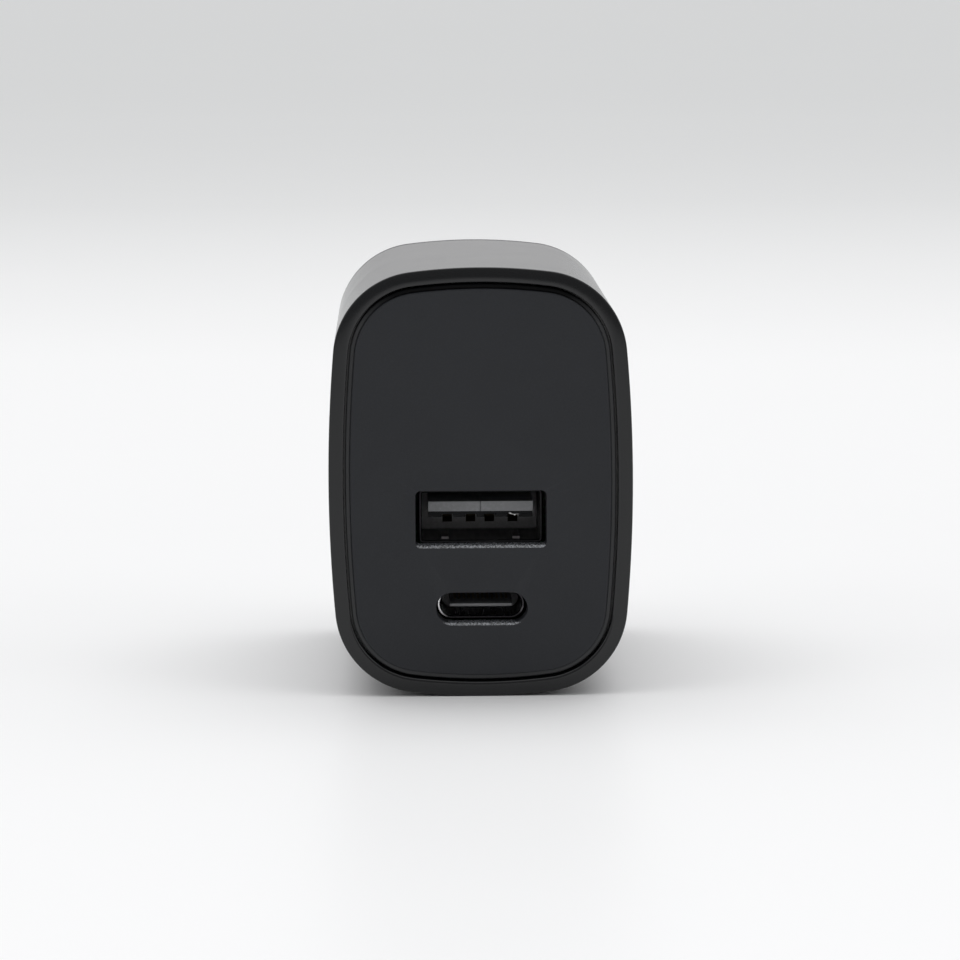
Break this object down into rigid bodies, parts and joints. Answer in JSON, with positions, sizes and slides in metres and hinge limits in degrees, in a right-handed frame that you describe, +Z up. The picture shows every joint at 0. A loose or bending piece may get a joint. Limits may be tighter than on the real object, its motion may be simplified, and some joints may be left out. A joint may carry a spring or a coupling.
{
  "type": "usb wall charger",
  "caption": "Upright squircle wall charger with stacked USB-A and USB-C sockets in an inset panel and a folding two-blade plug in the rear face.",
  "frame": {"origin": "centre of the lowest line of the bowed underside, at mid width and mid depth", "axes": "+Z up from the surface it stands on, -Y out of the port face, +Y out of the wall face, +X to the right seen from the port face"},
  "size_m": [0.032, 0.047, 0.0455],
  "materials": {
    "housing_black": "satin, lightly polished, near-black",
    "panel_black": "fine matte texture, charcoal",
    "cover_black": "fine matte texture, near-black",
    "inner_plastic": "plain moulded",
    "screw_steel": "zinc plated",
    "carrier_black": "semi-matte moulded",
    "blade_nickel": "nickel-plated brass",
    "spring_steel": "bright spring steel",
    "contact_bronze": "phosphor bronze",
    "board_green": "solder mask over laminate",
    "pin_gold": "gold-flashed square pins",
    "port_steel": "stamped steel, nickel plated",
    "tongue_grey": "moulded grey insulator",
    "contact_gold": "gold-flashed",
    "tongue_dark": "moulded dark insulator",
    "can_aluminium": "bare drawn can",
    "ferrite_grey": "pressed composite",
    "chip_black": "moulded epoxy",
    "film_clear": "thin translucent film",
    "ferrite_dark": "sintered ferrite",
    "bobbin_green": "phenolic moulding",
    "tape_yellow": "polyester tape over wire",
    "sleeve_blue": "shrink sleeve",
    "case_yellow": "moulded box",
    "disc_blue": "dipped coating",
    "ring_green": "coated ferrite ring",
    "wire_copper": "enamelled copper wire",
    "fuse_black": "moulded case",
    "opto_white": "moulded epoxy",
    "spreader_copper": "tinned copper strip",
    "pad_grey": "soft gap filler"
  },
  "bodies": {
    "charger": {"outer_shell": "housing_black", "front_panel": "panel_black", "rear_cover": "cover_black", "plug_retainer": "inner_plastic", "retainer_screws": "screw_steel", "detent_spring": "spring_steel", "live_contact_spring": "contact_bronze", "neutral_contact_spring": "contact_bronze", "port_board": "board_green", "main_board": "board_green", "board_link_pins": "pin_gold", "usb_a_shell": "port_steel", "usb_a_tongue": "tongue_grey", "usb_a_contacts": "contact_gold", "usb_c_shell": "port_steel", "usb_c_tongue": "tongue_dark", "usb_c_contacts": "contact_gold", "output_capacitors": "can_aluminium", "output_inductor": "ferrite_grey", "port_controller_chips": "chip_black", "insulation_sheet": "film_clear", "transformer_core": "ferrite_dark", "transformer_bobbin": "bobbin_green", "transformer_winding": "tape_yellow", "bulk_capacitors": "sleeve_blue", "x_capacitor": "case_yellow", "y_capacitor": "disc_blue", "choke_core": "ring_green", "choke_windings": "wire_copper", "fuse": "fuse_black", "bridge_rectifier": "chip_black", "power_switch_chip": "chip_black", "optocoupler": "opto_white", "heat_spreader": "spreader_copper", "thermal_pad": "pad_grey"},
    "plug": {"blade_carrier": "carrier_black", "blade_left": "blade_nickel", "blade_right": "blade_nickel"}
  },
  "joints": [
    {"name": "plug_fold", "type": "hinge", "parent": "charger", "child": "plug", "pos_m": [0, 0.0198, 0.03145], "axis": [1, 0, 0], "range_deg": [0, 90]}
  ]
}
